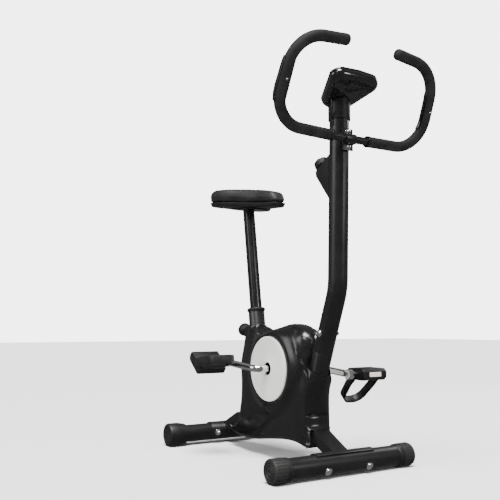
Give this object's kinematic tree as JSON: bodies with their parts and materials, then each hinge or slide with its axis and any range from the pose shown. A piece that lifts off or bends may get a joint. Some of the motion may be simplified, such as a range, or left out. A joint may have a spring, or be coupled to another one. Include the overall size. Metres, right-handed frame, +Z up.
{
  "type": "exercise bike",
  "caption": "Upright exercise bike: one-piece crank and strapped pedals driving a belted flywheel in a moulded shell, with adjustable saddle, looped handlebar and sloping console.",
  "frame": {"origin": "on the floor, under the middle of the whole bike's outer box", "axes": "+X towards the handlebar end, +Y to the rider's left, +Z up"},
  "size_m": [0.7378, 0.4784, 1.0152],
  "materials": {
    "powder_coat": "satin black powder coat",
    "chrome": "bright chrome plate",
    "zinc_steel": "turned and zinc plated",
    "flywheel_iron": "turned iron",
    "shell_plastic": "black moulding, half gloss",
    "black_plastic": "fine grained black moulding",
    "roller_rubber": "hard black rubber",
    "disc_plastic": "silver-white satin",
    "strap_plastic": "soft black plastic band",
    "reflector": "pale lens",
    "belt_rubber": "ribbed belt",
    "foam": "black closed-cell foam",
    "cable_sheath": "smooth black sheath",
    "vinyl": "grained black vinyl",
    "display": "grey-green display window",
    "key_rubber": "grey key"
  },
  "bodies": {
    "root": {"main_frame": "powder_coat", "front_stabiliser": "powder_coat", "rear_stabiliser": "powder_coat", "handlebar_post": "powder_coat", "handlebar_clamp": "powder_coat", "front_bolt_right": "chrome", "front_bolt_left": "chrome", "rear_bolt_right": "chrome", "rear_bolt_left": "chrome", "post_bolt": "chrome", "clamp_bolt_lower": "chrome", "clamp_bolt_upper": "chrome", "crank_bearing_right": "zinc_steel", "crank_bearing_left": "zinc_steel", "flywheel_bearing": "zinc_steel", "shroud_right": "shell_plastic", "shroud_left": "shell_plastic", "front_cover": "shell_plastic", "rear_cap_right": "black_plastic", "rear_cap_left": "black_plastic", "roller_hub_right": "black_plastic", "roller_hub_left": "black_plastic", "seat_tube_bush": "black_plastic", "tension_housing": "black_plastic", "console_back": "black_plastic", "console_face": "black_plastic", "console_bracket": "black_plastic", "disc_cover_right": "disc_plastic", "disc_cover_left": "disc_plastic", "drive_belt": "belt_rubber", "tension_cable": "cable_sheath", "console_lead": "cable_sheath", "console_screen": "display"},
    "roller_right": {"roller_right": "roller_rubber"},
    "roller_left": {"roller_left": "roller_rubber"},
    "crank": {"crank": "chrome", "drive_pulley": "black_plastic", "pedal_spindle_right": "zinc_steel", "pedal_spindle_left": "zinc_steel"},
    "flywheel": {"flywheel": "flywheel_iron", "flywheel_shaft": "zinc_steel"},
    "pedal_right": {"pedal_right": "black_plastic", "pedal_reflector_right": "reflector", "pedal_strap_right": "strap_plastic"},
    "pedal_left": {"pedal_left": "black_plastic", "pedal_reflector_left": "reflector", "pedal_strap_left": "strap_plastic"},
    "seat": {"seat_post": "powder_coat", "saddle_base": "black_plastic", "saddle_pad": "vinyl"},
    "seat_pin": {"seat_pin_knob": "black_plastic"},
    "handlebar": {"handlebar": "powder_coat", "grip_right": "foam", "grip_left": "foam", "pulse_sensor_right": "black_plastic", "pulse_sensor_left": "black_plastic"},
    "tension_knob": {"tension_knob": "black_plastic"},
    "brake": {"brake_arm": "zinc_steel", "brake_magnet": "zinc_steel"},
    "mode_button": {"mode_button": "key_rubber"}
  },
  "joints": [
    {"name": "crank_spin", "type": "hinge", "parent": "root", "child": "crank", "pos_m": [-0.01586, 0, 0.236], "axis": [0, 1, 0], "continuous": true},
    {"name": "flywheel_spin", "type": "hinge", "parent": "root", "child": "flywheel", "pos_m": [0.04614, 0, 0.283], "axis": [0, 1, 0], "continuous": true},
    {"name": "pedal_right_spin", "type": "hinge", "parent": "crank", "child": "pedal_right", "pos_m": [-0.14209, -0.1136, 0.24994], "axis": [0, 1, 0], "continuous": true},
    {"name": "pedal_left_spin", "type": "hinge", "parent": "crank", "child": "pedal_left", "pos_m": [0.11037, 0.1136, 0.22206], "axis": [0, 1, 0], "continuous": true},
    {"name": "seat_height", "type": "slide", "parent": "root", "child": "seat", "axis": [-0.1409, 0, 0.99], "range_m": [-0.075, 0.05]},
    {"name": "seat_pin_pull", "type": "slide", "parent": "root", "child": "seat_pin", "axis": [-0.99, 0, -0.1409], "range_m": [0, 0.01], "stiffness_N_per_m": 800},
    {"name": "handlebar_tilt", "type": "hinge", "parent": "root", "child": "handlebar", "pos_m": [0.26334, 0, 0.8018], "axis": [0, 1, 0], "range_deg": [-15, 15]},
    {"name": "tension_turn", "type": "hinge", "parent": "root", "child": "tension_knob", "pos_m": [0.15644, 0, 0.7605], "axis": [-0.5, 0, 0.866], "range_deg": [0, 300]},
    {"name": "brake_swing", "type": "hinge", "parent": "root", "child": "brake", "pos_m": [0.00814, 0, 0.176], "axis": [0, 1, 0], "range_deg": [-3, 0]},
    {"name": "mode_button_press", "type": "slide", "parent": "root", "child": "mode_button", "axis": [0.4067, 0, -0.9135], "range_m": [0, 0.001], "stiffness_N_per_m": 400},
    {"name": "roller_right_spin", "type": "hinge", "parent": "root", "child": "roller_right", "pos_m": [0.22014, -0.19, 0.0285], "axis": [0, 1, 0], "continuous": true},
    {"name": "roller_left_spin", "type": "hinge", "parent": "root", "child": "roller_left", "pos_m": [0.22014, 0.19, 0.0285], "axis": [0, 1, 0], "continuous": true}
  ],
  "couplings": [
    {"joint": "flywheel_spin", "follows": "crank_spin", "ratio": 4.48},
    {"joint": "brake_swing", "follows": "tension_turn", "ratio": -0.01}
  ]
}
